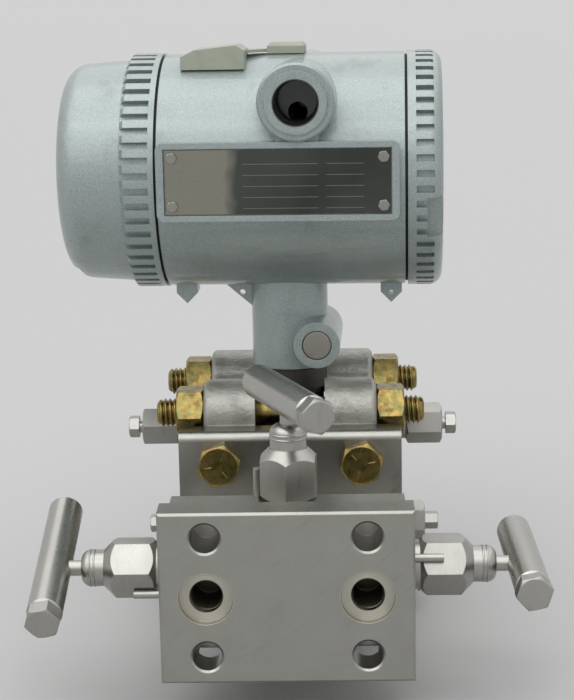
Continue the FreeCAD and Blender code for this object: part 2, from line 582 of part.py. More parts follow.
def process_flange(side, sign):
    """A cast flange half: disc, four stud lobes, port pad in front and vent bosses outside."""
    inner = "(sensor_half + gasket_thick)"
    flip = sign == "-"
    body = make_body(f"{side}_process_flange")
    face = f"{sign}{inner}"
    pad(body, lobed_disc(sketch_on(body, "YZ_Plane", face)), "flange_thick", back=flip)
    thick = amount("flange_thick")
    dressed(body, "Fillet", "lobe_blend", lambda edge: (
        abs(edge.Length - thick) < NEAR and edge.BoundBox.DiagonalLength < thick + NEAR))
    far = amount(f"{sign}({inner} + flange_thick)")
    dressed(body, "Fillet", "cast_round", lambda edge: abs(edge.CenterOfMass.x - far) < NEAR)
    middle = sketch_on(body, "YZ_Plane", f"{sign}({inner} + flange_thick / 2)")
    bosses = circles(middle, [("vent_y", "-vent_z"), ("vent_y", "vent_z")], "vent_boss")
    pad(body, bosses, f"vent_face - {inner} - flange_thick / 2", back=flip)
    front = "(cell_y - rear_front - rear_thick)"
    port = sketch_on(body, "XZ_Plane", front)
    outline(port, [(f"{sign}{inner}", "-boss_half"), (f"{sign}(boss_outer)", "-boss_half", "boss_corner"),
                   (f"{sign}(boss_outer)", "boss_half", "boss_corner"), (f"{sign}{inner}", "boss_half")])
    pad(body, port, f"{front} - boss_back", back=True)
    flange_bores(body, sign, front, face, flip)
    place(body, y="cell_y")


def lobed_disc(sketch):
    """Disc and four stud lobes as one outline of arcs, each ending where it meets the next."""
    disc, lobe = amount("flange_radius"), amount("lobe_radius")
    away = amount("sqrt(stud_y^2 + stud_z^2)")
    on_disc = math.acos((disc**2 + away**2 - lobe**2) / (2 * disc * away))
    on_lobe = math.pi - math.acos((away**2 + lobe**2 - disc**2) / (2 * away * lobe))
    tilt = math.atan2(amount("stud_z"), amount("stud_y"))
    towards = (tilt, math.pi - tilt, math.pi + tilt, 2 * math.pi - tilt)
    signs = (("", ""), ("-", ""), ("-", "-"), ("", "-"))
    arcs = []
    for place, ((across, up), angle) in enumerate(zip(signs, towards)):
        arcs.append((f"{across}stud_y", f"{up}stud_z", "lobe_radius", angle - on_lobe, angle + on_lobe))
        following = towards[place + 1] if place < 3 else towards[0] + 2 * math.pi
        arcs.append(("0", "0", "flange_radius", angle + on_disc, following - on_disc))
    for x, y, radius, start, end in arcs:
        ring = Part.Circle(Vector(amount(x), amount(y), 0), Vector(0, 0, 1), amount(radius))
        edge = sketch.addGeometry(Part.ArcOfCircle(ring, start, end), False)
        hold(sketch, edge, 3, x, y)
        tie = sketch.addConstraint(Sketcher.Constraint("Radius", edge, amount(radius)))
        sketch.setExpression(f"Constraints[{tie}]", formula(radius))
    for edge in range(len(arcs)):
        following = (edge + 1) % len(arcs)
        sketch.addConstraint(Sketcher.Constraint("Coincident", edge, 2, following, 1))
    return sketch


def flange_bores(body, sign, front, face, flip):
    """Stud holes, tapped bolt holes, the process bore, vents and the diaphragm's cavity."""
    outer = f"{sign}(vent_face)"
    studs = circles(sketch_on(body, "YZ_Plane", outer), four("stud_y", "stud_z"), "stud_bore")
    pocket(body, studs, "vent_face", back=flip)
    bolts = sketch_on(body, "XZ_Plane", front)
    spots = [(f"{sign}(port_x)", "-bolt_up"), (f"{sign}(port_x)", "bolt_up")]
    pocket(body, circles(bolts, spots, "bolt_radius + run_gap / 2"), "bolt_bite + 2")
    seats = circles(sketch_on(body, "YZ_Plane", outer), four("stud_y", "stud_z"),
                    "nut_across / sqrt(3) + nut_room")
    pocket(body, seats, "vent_face - flange_thick - sensor_half - gasket_thick", back=flip)
    port = circle(sketch_on(body, "XZ_Plane", front), f"{sign}(port_x)", "0", "passage")
    pocket(body, port, front)
    inlet = circle(sketch_on(body, "YZ_Plane", f"{sign}(port_x)"), "0", "0", "passage")
    pocket(body, inlet, "port_x", back=flip)
    vents = [("vent_y", "-vent_z"), ("vent_y", "vent_z")]
    pocket(body, circles(sketch_on(body, "YZ_Plane", outer), vents, "plug_bore"), "plug_depth + 1", back=flip)
    pocket(body, circles(sketch_on(body, "YZ_Plane", outer), vents, "passage"), "vent_face", back=flip)
    cavity = circle(sketch_on(body, "YZ_Plane", face), "0", "0", "cavity_radius")
    pocket(body, cavity, "cavity_depth", back=not flip)


def sensor_cell():
    """The welded sensor disc with its round collar and the stem that carries the housing."""
    body = make_body("sensor_body")
    pad(body, circle(sketch_on(body, "YZ_Plane"), "0", "0", "sensor_radius"), "2 * sensor_half", both=True)
    waist = "(sensor_half + gasket_thick - fit_gap)"
    root, shoulder = "sensor_radius - neck_dip", "flange_radius + shoulder_rise"
    standing(body, [("0", root), (waist, root), (waist, shoulder), ("sensor_collar", shoulder),
                    ("sensor_collar", "collar_top"), ("sensor_stem", "collar_top"),
                    ("sensor_stem", "stem_top"), ("0", "stem_top")])
    for face, flip in (("-sensor_half", True), ("sensor_half", False)):
        hollow = circle(sketch_on(body, "YZ_Plane", face), "0", "0", "diaphragm_open")
        pocket(body, hollow, "diaphragm_gap", back=flip)
    place(body, y="cell_y")
    for side, _, turn in SIDES:
        diaphragm = make_body(f"{side}_diaphragm")
        pad(diaphragm, circle(sketch_on(diaphragm, "YZ_Plane", "sensor_half"), "0", "0", "diaphragm_radius"),
            "diaphragm_thick")
        place(diaphragm, y="cell_y", turn=turn)
        gasket = make_body(f"{side}_gasket")
        ring = sketch_on(gasket, "YZ_Plane", "sensor_half")
        circle(ring, "0", "0", "gasket_outer")
        circle(ring, "0", "0", "gasket_inner")
        pad(gasket, ring, "gasket_thick")
        place(gasket, y="cell_y", turn=turn)


def studs_and_nuts():
    studs = make_body("flange_studs")
    one = pad(studs, circle(sketch_on(studs, "YZ_Plane"), "0", "0", "stud_radius"), "2 * stud_end", both=True)
    dressed(studs, "Chamfer", "stud_bevel", lambda edge: len(edge.Vertexes) == 1)
    tip = studs.Tip
    rows(studs, [one, tip], "2 * stud_y", "2 * stud_z")
    place(studs, y="cell_y - stud_y", z="-stud_z")
    for side, sign, turn in SIDES:
        nuts = make_body(f"{side}_stud_nuts")
        face = "sensor_half + gasket_thick + flange_thick"
        made = hex_bar(nuts, face, f"{face} + nut_thick", "nut_across", "0", ends=(True, True))
        hole = circle(sketch_on(nuts, "YZ_Plane", f"{face} + nut_thick"), "0", "0",
                      "stud_radius + run_gap / 2")
        made.append(pocket(nuts, hole, "nut_thick"))
        rows(nuts, made, "2 * stud_y", "2 * stud_z")
        y = "cell_y - stud_y" if sign == "+" else "cell_y + stud_y"
        place(nuts, y=y, z="-stud_z", turn=turn)


def side_plug(label, bored):
    """A hexagon plug with a taper-threaded end; the vented one is bored for its screw."""
    body = make_body(label)
    inside = "vent_screw + run_gap" if bored else "0"
    far = "vent_face + plug_neck + 1"
    long = "plug_hex" if bored else "drain_hex"
    start = "vent_face - plug_depth"
    section = [(start, inside), (far, inside), (far, "plug_thread"), (start, "plug_thread - plug_taper")]
    if bored:
        seat = f"({start} + vent_seat)"
        section = [(start, "vent_hole"), (f"{seat} - 2 * plug_taper", "vent_hole"),
                   (f"{seat} + plug_taper", inside)] + section[1:]
    turned(body, section)
    doc.recompute()
    hexagonal = sketch_on(body, "YZ_Plane", "vent_face + plug_neck")
    hexagon(hexagonal, "plug_across", "plug_turn")
    if bored:
        circle(hexagonal, "0", "0", inside)
    pad(body, hexagonal, long)
    rim, reach = "plug_across * hex_rim", "plug_across * hex_reach"
    slope = f"({reach} - {rim}) * tan(hex_slope)"
    outer = f"vent_face + plug_neck + {long}"
    for end, way in (("vent_face + plug_neck", "+"), (outer, "-")):
        turned(body, [(end, rim), (f"{end} {way} {slope}", reach), (end, reach)], "Groove")
    if not bored:
        hex_bar(body, f"{outer} - 1", f"{outer} + drain_tip", "drain_across")
    return body


def vents_and_drains():
    screw_out = "(vent_face + plug_neck + plug_hex)"
    seat = "(vent_face - plug_depth + vent_seat)"
    for side, sign, turn in SIDES:
        spot = {"y": "cell_y + vent_y", "z": "vent_z", "turn": turn}
        place(side_plug(f"{side}_vent_plug", True), **spot)
        ball = doc.addObject("Part::Sphere", f"{side}_vent_ball")
        bind(ball, "Radius", "vent_ball")
        place(ball, f"{sign}({seat} + vent_lift)", spot["y"], spot["z"])
        pieces.append(ball)
        screw = make_body(f"{side}_vent_screw")
        tip = f"({seat} + vent_lift + vent_ball + fit_gap)"
        neck = f"({screw_out} + vent_screw_gap)"
        turned(screw, [(tip, "0"), (tip, "vent_screw"), (neck, "vent_screw"), (neck, "0")])
        hex_bar(screw, neck, f"{neck} + vent_screw_head", "vent_screw_across", "0", ends=(False, True))
        place(screw, **spot)
        drain = side_plug(f"{side}_drain_plug", False)
        place(drain, y=spot["y"], z="-vent_z", turn=turn)


# ---- housing ----

def on_housing(piece):
    """Seats a piece drawn about the housing's axis, turned on the neck as the housing is."""
    return place(piece, "0", "cell_y", "housing_z", Rotation(Vector(0, 0, 1), amount("swivel_rest")))


def housing():
    body = make_body("housing")
    left_end, right_end = "-(housing_half + left_spigot)", "(housing_half + right_spigot)"
    turned(body, [(left_end, "0"), (left_end, "spigot_radius"), ("-housing_half", "spigot_radius"),
                  ("-housing_half", "housing_radius"), ("housing_half", "housing_radius"),
                  ("housing_half", "spigot_radius"), (right_end, "spigot_radius"), (right_end, "0")])
    shoulder = "(conduit_face - conduit_step)"
    for sign, flip in (("", True), ("-", False)):
        boss = circle(sketch_on(body, "XZ_Plane", f"{sign}{shoulder}"), "conduit_x", "conduit_z",
                      "conduit_radius")
        pad(body, boss, f"{shoulder} - boss_root / 2", back=flip)
    step = amount(shoulder)
    dressed(body, "Chamfer", "conduit_bevel", lambda edge: abs(abs(edge.CenterOfMass.y) - step) < NEAR)
    for sign, flip in (("", True), ("-", False)):
        ring = circle(sketch_on(body, "XZ_Plane", f"{sign}conduit_face"), "conduit_x", "conduit_z",
                      "conduit_ring")
        pad(body, ring, "conduit_step + 1", back=flip)
    foot = sketch_on(body, "XZ_Plane", "foot_face")
    oblong(foot, "conduit_x - foot_half", "foot_low", "conduit_x + foot_half", "foot_high")
    pad(body, foot, "foot_face - boss_root", back=True)
    low = "(neck_bottom - housing_z)"
    standing(body, [("0", low), ("neck_outer", low), ("neck_outer", "-boss_root"), ("0", "-boss_root")])
    side = circle(sketch_on(body, "XZ_Plane", "side_front"), "side_x", "side_z - housing_z", "side_radius")
    pad(body, side, "side_front + side_back", back=True)
    gussets_and_lugs(body)
    name_frame(body)
    housing_rooms(body)
    on_housing(body)


def gussets_and_lugs(body):
    """The web that braces the neck, with its seal hole, and the pointed lugs near both covers."""
    inner, top = "-(neck_outer - gusset_bite)", "-(housing_radius - gusset_root)"
    web = sketch_on(body, "XZ_Plane")
    outline(web, [(inner, top), ("-(gusset_out + gusset_root)", top),
                  ("-gusset_out", "-(housing_radius + gusset_lap)"),
                  (inner, "-(housing_radius + gusset_down)")])
    pad(body, web, "gusset_thick", both=True)
    wire = circle(sketch_on(body, "XZ_Plane", "gusset_thick"), "-(neck_outer + seal_hole)",
                  "-(housing_radius + seal_hole)", "gusset_hole")
    pocket(body, wire, "2 * gusset_thick")
    for sign in ("-", "+"):
        near, far = f"{sign}(lug_x) - lug_half", f"{sign}(lug_x) + lug_half"
        lug = sketch_on(body, "XZ_Plane", "lug_thick / 2")
        outline(lug, [(near, top), (far, top), (far, "-lug_side"), (f"{sign}(lug_x)", "-lug_tip"),
                      (near, "-lug_side")])
        pad(body, lug, "lug_thick", back=True)
    hole = circle(sketch_on(body, "XZ_Plane", "lug_thick"), "lug_x", "-(lug_side + lug_drop)", "lug_hole")
    pocket(body, hole, "2 * lug_thick")


def tag_spots():
    """The four screws of the nameplate."""
    return [(f"tag_x {across} tag_screw_x", f"frame_centre {up} tag_screw_z")
            for across in "-+" for up in "-+"]


def tag_area(sketch, wide, high):
    """A rectangle about the nameplate's middle, from its half width and half height."""
    return oblong(sketch, f"tag_x - ({wide})", f"frame_centre - ({high})", f"tag_x + ({wide})",
                  f"frame_centre + ({high})")


def name_frame(body):
    """The flat pad on the front with a raised frame round the nameplate's recess."""
    frame = tag_area(sketch_on(body, "XZ_Plane", "frame_face"), "frame_half_width", "frame_half_high")
    pad(body, frame, "frame_face - pad_root", back=True)
    face = -amount("frame_face")
    half, middle = amount("frame_half_width"), amount("tag_x")
    dressed(body, "Fillet", "frame_corner", lambda edge: (
        abs(abs(edge.CenterOfMass.x - middle) - half) < NEAR and edge.BoundBox.YMin < face + NEAR
        and edge.BoundBox.YLength > 0.5))
    recess = tag_area(sketch_on(body, "XZ_Plane", "frame_face"), "tag_width / 2 + tag_room",
                      "tag_high / 2 + tag_room")
    pocket(body, recess, "frame_face - frame_floor")
    pocket(body, circles(sketch_on(body, "XZ_Plane", "frame_floor"), tag_spots(), "tag_screw_radius"),
           "tag_screw_long")


def housing_rooms(body):
    """Electronics and terminal rooms, conduit entries, neck bore and adjuster holes."""
    rooms = (("wall_left", "wall_left + housing_half + left_spigot", False),
             ("wall_right", "housing_half + right_spigot - wall_right", True))
    for wall, length, flip in rooms:
        pocket(body, circle(sketch_on(body, "YZ_Plane", wall), "0", "0", "room_radius"), length, back=flip)
    for away, flip in (("conduit_face", False), ("-conduit_face", True)):
        entry = circle(sketch_on(body, "XZ_Plane", away), "conduit_x", "conduit_z", "conduit_bore")
        pocket(body, entry, "conduit_depth", back=flip)
        wires = circle(sketch_on(body, "XZ_Plane", away), "conduit_x", "conduit_z - conduit_shift",
                       "conduit_passage")
        pocket(body, wires, "conduit_depth + conduit_throat", back=flip)
    deep = "housing_z - stem_top - stem_room"
    neck = circle(sketch_on(body, "XY_Plane", "neck_bottom - housing_z"), "0", "0", "sensor_stem + run_gap")
    pocket(body, neck, f"housing_z - neck_bottom - ({deep})", back=True)
    wires = circle(sketch_on(body, "XY_Plane", f"-({deep}) - 1"), "0", "0", "wire_bore")
    pocket(body, wires, "housing_z - stem_top - 30", back=True)
    plug = circle(sketch_on(body, "XZ_Plane", "side_front"), "side_x", "side_z - housing_z",
                  "side_plug + run_gap / 2")
    pocket(body, plug, "side_plug_long")
    holes = sketch_on(body, "XY_Plane", "housing_radius + cut_over")
    circles(holes, [("zero_x", "zero_y"), ("span_x", "span_y")], "adjust_radius")
    pocket(body, holes, "housing_radius + cut_over - adjust_seat - adjust_sunk")
    pins = sketch_on(body, "XY_Plane", "housing_radius")
    circles(pins, [("zero_x", "zero_y"), ("span_x", "span_y")], "adjust_pin + run_gap")
    pocket(body, pins, "housing_radius - adjust_seat + adjust_pin_long")


def name_plate():
    plate = make_body("nameplate")
    area = tag_area(sketch_on(plate, "XZ_Plane", "frame_floor"), "tag_width / 2", "tag_high / 2")
    circles(area, tag_spots(), "tag_screw_radius + run_gap")
    pad(plate, area, "tag_thick")
    on_housing(plate)
    screws = make_body("nameplate_screws")
    shank = circle(sketch_on(screws, "YZ_Plane", "-tag_screw_long"), "0", "0", "tag_screw_radius")
    made = [pad(screws, shank, "tag_screw_long + tag_screw_head / 2 + tag_thick")]
    made += hex_bar(screws, "tag_thick", "tag_thick + tag_screw_head", "tag_screw_across", "tag_screw_turn")
    rows(screws, made, "2 * tag_screw_x", "2 * tag_screw_z")
    turn = Rotation(Vector(0, 0, 1), amount("swivel_rest") - 90)
    corner = Vector(amount("tag_x - tag_screw_x"), -amount("frame_floor"),
                    amount("frame_centre - tag_screw_z"))
    swivel = Rotation(Vector(0, 0, 1), amount("swivel_rest"))
    centre = Vector(0, amount("cell_y"), amount("housing_z"))
    screws.Placement = Placement(centre + swivel.multVec(corner), turn)


def neck_and_conduit_plugs():
    plug = make_body("neck_plug")
    face = circle(sketch_on(plug, "XZ_Plane", "side_front - side_plug_long"), "side_x",
                  "side_z - housing_z", "side_plug")
    pad(plug, face, "side_plug_long - fit_gap")
    face_y = amount("side_bevel - side_front")
    dressed(plug, "Chamfer", "side_bevel", lambda edge: edge.CenterOfMass.y < face_y)
    on_housing(plug)
    rear = make_body("rear_conduit_plug")
    shank = circle(sketch_on(rear, "XZ_Plane", "-(conduit_face - conduit_depth + overcut)"), "conduit_x",
                   "conduit_z", "conduit_bore - run_gap / 2")
    pad(rear, shank, "conduit_depth", back=True)
    head = circle(sketch_on(rear, "XZ_Plane", "-conduit_face"), "conduit_x", "conduit_z",
                  "conduit_ring - 0.2")
    pad(rear, head, "rear_head", back=True)
    socket = sketch_on(rear, "XZ_Plane", "-(conduit_face + rear_head)")
    oblong(socket, "conduit_x - rear_socket", "conduit_z - rear_socket", "conduit_x + rear_socket",
           "conduit_z + rear_socket")
    pocket(rear, socket, "rear_deep", back=True)
    on_housing(rear)


def electronics():
    module = make_body("electronics_module")
    turned(module, [("module_end", "0"), ("module_end", "module_face"), ("module_step", "module_face"),
                    ("module_step", "module_radius"), ("wall_left", "module_radius"),
                    ("wall_left", "0")])
    on_housing(module)
    block = make_body("terminal_block")
    turned(block, [("wall_right", "0"), ("wall_right", "block_radius"), ("block_end", "block_radius"),
                   ("block_end", "0")])
    on_housing(block)
    screws = make_body("terminal_screws")
    spots = [("-terminal_spot", "0"), ("0", "-terminal_spot"), ("terminal_spot", "0")]
    heads = circles(sketch_on(screws, "YZ_Plane", "block_end"), spots, "terminal_radius")
    pad(screws, heads, "terminal_high")
    slots = sketch_on(screws, "YZ_Plane", "block_end + terminal_high")
    for y, z in spots:
        oblong(slots, f"{y} - slot_reach", f"{z} - slot_half", f"{y} + slot_reach", f"{z} + slot_half")
    pocket(screws, slots, "2 * slot_deep")
    on_housing(screws)


def covers():
    """Threaded caps over both rooms, each with a grip of slots round its rim and an O-ring."""
    for side, sign, turn in SIDES:
        long = f"{side}_cap_long"
        start = "(housing_half + cover_gap)"
        end = f"({start} + {long})"
        body = make_body(f"{side}_cover")
        grip_end = f"({start} + cap_rim + grip_long)"
        inner_end = f"({end} - cover_wall)"
        thread_end = "(housing_half + left_spigot + overcut)"
        if side == "left":
            outer = [(grip_end, "cap_radius"), (f"{grip_end} + grip_slope", "cap_body"), (end, "cap_end")]
            room = [(inner_end, "cap_inner"), (thread_end, "cap_room"), (thread_end, "cover_bore")]
        else:
            outer = [(end, "cap_radius")]
            room = [(inner_end, "cover_bore")]
        turned(body, [(start, "cover_bore"), (start, "cap_radius")] + outer
               + [(end, "0"), (inner_end, "0")] + room)
        corner = "cap_corner" if side == "left" else "right_corner"
        far = amount(end)
        dressed(body, "Fillet", corner, lambda edge: abs(edge.CenterOfMass.x - far) < NEAR)
        grip(body, side, start, end, grip_end)
        notches(body, side, end)
        swing = Rotation(Vector(0, 0, 1), amount("swivel_rest"))
        place(body, "0", "cell_y", "housing_z", swing.multiply(turn))
        seal = doc.addObject("Part::Torus", f"{side}_cover_seal")
        bind(seal, "Radius1", "seal_ring")
        bind(seal, "Radius2", "seal_wire / 2")
        axis = swing.multiply(turn)
        across = Rotation(Vector(0, 1, 0), 90)
        middle = axis.multVec(Vector(amount("housing_half + cover_gap / 2"), 0, 0))
        centre = Vector(0, amount("cell_y"), amount("housing_z"))
        seal.Placement = Placement(centre + middle, axis.multiply(across))
        pieces.append(seal)


def grip(body, side, start, end, grip_end):
    """Slots cut round the rim: open towards the cap on the long cover, closed on the short one."""
    top = sketch_on(body, "XY_Plane", "cap_radius + 1")
    low = f"{start} + cap_rim" if side == "left" else f"{start} + right_rim"
    high = f"{grip_end} + grip_slope" if side == "left" else f"{end} - right_shoulder"
    oblong(top, low, "-grip_width / 2", high, "grip_width / 2")
    slot = pocket(body, top, "grip_depth + 1")
    around(body, [slot], "grip_count")


def notches(body, side, end):
    """Two opposite notches in the end's rim for a cover wrench."""
    for extra in ("0", "180"):
        cut = sketch_on(body, "YZ_Plane", end)
        radius = "cap_end" if side == "left" else "cap_radius"
        low, high = f"({radius} - notch_depth)", f"({radius} + notch_over)"
        angle = f"({side}_notch_turn + {extra})"
        corners = [(low, "-notch_half"), (high, "-notch_half"), (high, "notch_half"), (low, "notch_half")]
        outline(cut, [(f"-({out} * cos({angle})) - ({aside}) * sin({angle})",
                       f"{out} * sin({angle}) - ({aside}) * cos({angle})") for out, aside in corners])
        pocket(body, cut, "notch_in")


def adjusters():
    for name in ("zero", "span"):
        screw = make_body(f"{name}_screw")
        seat = "adjust_seat + adjust_sunk"
        head = circle(sketch_on(screw, "XY_Plane", seat), f"{name}_x", f"{name}_y", "adjust_screw")
        pad(screw, head, "adjust_head - adjust_sunk")
        pin = circle(sketch_on(screw, "XY_Plane", seat), f"{name}_x", f"{name}_y", "adjust_pin")
        pad(screw, pin, "adjust_pin_long + adjust_sunk - run_gap", back=True)
        slot = sketch_on(screw, "XY_Plane", "adjust_seat + adjust_head")
        oblong(slot, f"{name}_x - slot_reach", f"{name}_y - slot_half", f"{name}_x + slot_reach",
               f"{name}_y + slot_half")
        pocket(screw, slot, "slot_deep")
        on_housing(screw)
    adjuster_cover()


def adjuster_cover():
    """The moulded cap: two raised blocks with a plug under each, joined by a thin strap."""
    body = make_body("adjuster_cover")
    block = sketch_on(body, "XY_Plane", "span_base")
    oblong(block, "span_x - span_half", "span_y - span_half", "span_x + span_half", "span_y + span_half")
    pad(body, block, "cover_top - span_base")
    top = amount("cover_top")
    dressed(body, "Chamfer", "span_bevel", lambda edge: abs(edge.CenterOfMass.z - top) < NEAR)
    slanted = sketch_on(body, "XZ_Plane", "-zero_y")
    outline(slanted, [("zero_x - zero_long", "zero_base"), ("zero_x + zero_long", "zero_base"),
                      ("zero_x + zero_long", "cover_top - zero_edge"), ("zero_x + zero_peak", "cover_top"),
                      ("zero_x - zero_bend", "cover_top - zero_dip"),
                      ("zero_x - zero_long", "cover_top - zero_drop")])
    pad(body, slanted, "2 * zero_half", both=True)
    turned(body, [("-mould_reach", "0"), ("-mould_reach", "housing_radius + fit_gap"),
                  ("mould_reach", "housing_radius + fit_gap"), ("mould_reach", "0")], "Groove")
    strap = sketch_on(body, "XY_Plane", "strap_base")
    outline(strap, [("zero_x + strap_near", "zero_y + strap_up"),
                    ("zero_x + strap_far", "zero_y - strap_down"),
                    ("span_x - strap_near", "span_y - strap_up"),
                    ("span_x - strap_far", "span_y + strap_down")])
    pad(body, strap, "strap_top - strap_base")
    plugs = sketch_on(body, "XY_Plane", "adjust_plug_end")
    circles(plugs, [("zero_x", "zero_y"), ("span_x", "span_y")], "adjust_plug")
    pad(body, plugs, "strap_top - adjust_plug_end")
    on_housing(body)


# ---- the whole part ----

manifold_body()
bolts_and_seals()
for seat in valve_seats():
    valve(*seat)
for side, sign, _ in SIDES:
    process_flange(side, sign)
sensor_cell()
studs_and_nuts()
vents_and_drains()
housing()
name_plate()
neck_and_conduit_plugs()
electronics()
covers()
adjusters()
doc.recompute()

failed = [thing.Name for thing in doc.Objects if {"Invalid", "Error"} & set(thing.State)]
failed += [piece.Label for piece in pieces if piece.Shape.isNull() or not piece.Shape.isValid()]
if failed:
    raise RuntimeError(f"these did not build: {failed}")

os.makedirs("parts", exist_ok=True)
for piece in pieces:
    piece.Shape.exportStep(f"parts/{piece.Label}.step")
    print(piece.Label, len(piece.Shape.Solids), round(piece.Shape.Volume))
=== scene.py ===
import json
import math

import bpy
from mathutils import Matrix, Vector


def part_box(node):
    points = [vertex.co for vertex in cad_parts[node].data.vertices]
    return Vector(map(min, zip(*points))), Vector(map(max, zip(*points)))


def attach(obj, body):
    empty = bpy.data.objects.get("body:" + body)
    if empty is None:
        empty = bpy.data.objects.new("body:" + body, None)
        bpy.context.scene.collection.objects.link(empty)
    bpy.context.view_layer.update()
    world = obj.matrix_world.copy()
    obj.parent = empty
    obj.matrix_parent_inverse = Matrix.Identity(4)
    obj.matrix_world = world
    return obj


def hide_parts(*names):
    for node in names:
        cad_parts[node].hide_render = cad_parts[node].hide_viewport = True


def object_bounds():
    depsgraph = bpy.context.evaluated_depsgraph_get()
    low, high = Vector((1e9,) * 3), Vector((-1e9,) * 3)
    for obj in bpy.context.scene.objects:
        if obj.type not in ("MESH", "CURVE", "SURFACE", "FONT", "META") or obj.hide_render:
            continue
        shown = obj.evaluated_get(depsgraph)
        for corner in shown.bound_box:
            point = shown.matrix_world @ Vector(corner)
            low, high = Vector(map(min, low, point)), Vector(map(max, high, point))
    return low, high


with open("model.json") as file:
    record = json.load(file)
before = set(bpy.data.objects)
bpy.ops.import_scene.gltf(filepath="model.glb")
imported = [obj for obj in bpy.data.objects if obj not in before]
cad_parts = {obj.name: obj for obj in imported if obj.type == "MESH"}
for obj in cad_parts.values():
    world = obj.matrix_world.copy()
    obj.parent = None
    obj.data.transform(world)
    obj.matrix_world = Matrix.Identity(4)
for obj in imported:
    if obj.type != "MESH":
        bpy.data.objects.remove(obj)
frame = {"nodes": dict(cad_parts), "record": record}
nodes = frame["nodes"]
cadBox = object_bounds()
mm = 0.001
mounts = {mount["name"]: mount for mount in frame["record"]["mounts"]}
ports = ("left_process_port", "right_process_port")
print("frame loaded:", len(nodes), "nodes")


class Wire:  # a socket that can be written in sums
    def __init__(self, graph, socket):
        self.graph = graph
        self.socket = socket

    def __add__(self, other):
        return self.graph.maths("ADD", self, other)

    def __radd__(self, other):
        return self.graph.maths("ADD", other, self)

    def __sub__(self, other):
        return self.graph.maths("SUBTRACT", self, other)

    def __rsub__(self, other):
        return self.graph.maths("SUBTRACT", other, self)

    def __mul__(self, other):
        return self.graph.maths("MULTIPLY", self, other)

    def __rmul__(self, other):
        return self.graph.maths("MULTIPLY", other, self)

    def __gt__(self, other):
        return self.graph.maths("GREATER_THAN", self, other)

    def __lt__(self, other):
        return self.graph.maths("LESS_THAN", self, other)


edges = {"radius": 0.35, "samples": 4}  # how wide an edge shades round, in millimetres
holes = {"past": 3.5, "port": 5.75, "seat": 9.4, "conduit": 8.7}  # reach past a bore's middle length, and radii


class Graph:  # one material, or the world, and the nodes it is made of
    def __init__(self, name, **constants):
        self.material = bpy.data.materials.new(name)
        self.material.use_nodes = True
        self.tree = self.material.node_tree
        self.shader = self.tree.nodes["Principled BSDF"]
        for socket, value in constants.items():
            self.shader.inputs[socket.replace("_", " ")].default_value = value

    @classmethod
    def around(cls, world):
        graph = cls.__new__(cls)
        graph.tree = world.node_tree
        graph.shader = graph.tree.nodes["Background"]
        return graph

    def add(self, kind, settings, sockets, out=0):
        node = self.tree.nodes.new(kind)
        for name, value in settings.items():
            setattr(node, name, value)
        for name, value in sockets.items():
            self.feed(node.inputs[name], value)
        return Wire(self, node.outputs[out])

    def feed(self, socket, value):
        if isinstance(value, Wire):
            self.tree.links.new(value.socket, socket)
        elif socket.type == "RGBA":
            socket.default_value = (*value, 1)
        else:
            socket.default_value = value

    def maths(self, operation, *values):
        return self.add("ShaderNodeMath", {"operation": operation}, dict(enumerate(values)))

    def vectors(self, operation, *values, out="Vector"):
        return self.add("ShaderNodeVectorMath", {"operation": operation}, dict(enumerate(values)), out)

    def place(self, stretch=(1, 1, 1), lean=0):  # coordinates in millimetres, leaning about Y
        spot = self.add("ShaderNodeTexCoord", {}, {}, "Object")
        if lean:
            spot = self.add("ShaderNodeMapping", {}, {"Vector": spot, "Rotation": (0, math.radians(lean), 0)})
        return self.add("ShaderNodeMapping", {}, {"Vector": spot, "Scale": [value / mm for value in stretch]})

    def noise(self, size, detail=2, rough=0.5, stretch=(1, 1, 1), lean=0):  # size of the spots in millimetres
        return self.add("ShaderNodeTexNoise", {}, {"Vector": self.place(stretch, lean), "Scale": 1 / size,
                                                   "Detail": detail, "Roughness": rough})

    def cells(self, size):
        return self.add("ShaderNodeTexVoronoi", {}, {"Vector": self.place(), "Scale": 1 / size})

    def inside(self, name, radius):  # 1 within a radius, in millimetres, of a mount's bore
        axis, reach = mounts[name]["axis"], mounts[name]["dims"]["length_mm"] / 2 + holes["past"]
        spot = self.add("ShaderNodeTexCoord", {}, {}, "Object")
        away = self.vectors("SUBTRACT", spot, mounts[name]["pos_m"])
        out = self.vectors("LENGTH", self.vectors("CROSS_PRODUCT", away, axis), out="Value")
        along = self.vectors("DOT_PRODUCT", away, axis, out="Value")
        return (out < radius * mm) * (along < reach * mm) * (along > -reach * mm)

    def step(self, value, low, high):  # 0 below low, 1 above high
        return self.add("ShaderNodeMapRange", {}, {"Value": value, "From Min": low, "From Max": high})

    def blend(self, mask, first, second):
        return self.add("ShaderNodeMix", {"data_type": "RGBA"}, {0: mask, 6: first, 7: second}, 2)

    def dress(self, colour, roughness=None, height=None, depth=None):  # depth of the relief in millimetres
        self.feed(self.shader.inputs["Base Color"], colour)
        if roughness is not None:
            self.feed(self.shader.inputs["Roughness"], roughness)
        if height is not None:
            soft = self.add("ShaderNodeBevel", {"samples": edges["samples"]}, {"Radius": edges["radius"] * mm})
            relief = self.add("ShaderNodeBump", {}, {"Height": height, "Distance": depth * mm, "Normal": soft})
            self.feed(self.shader.inputs["Normal"], relief)
        return self.material


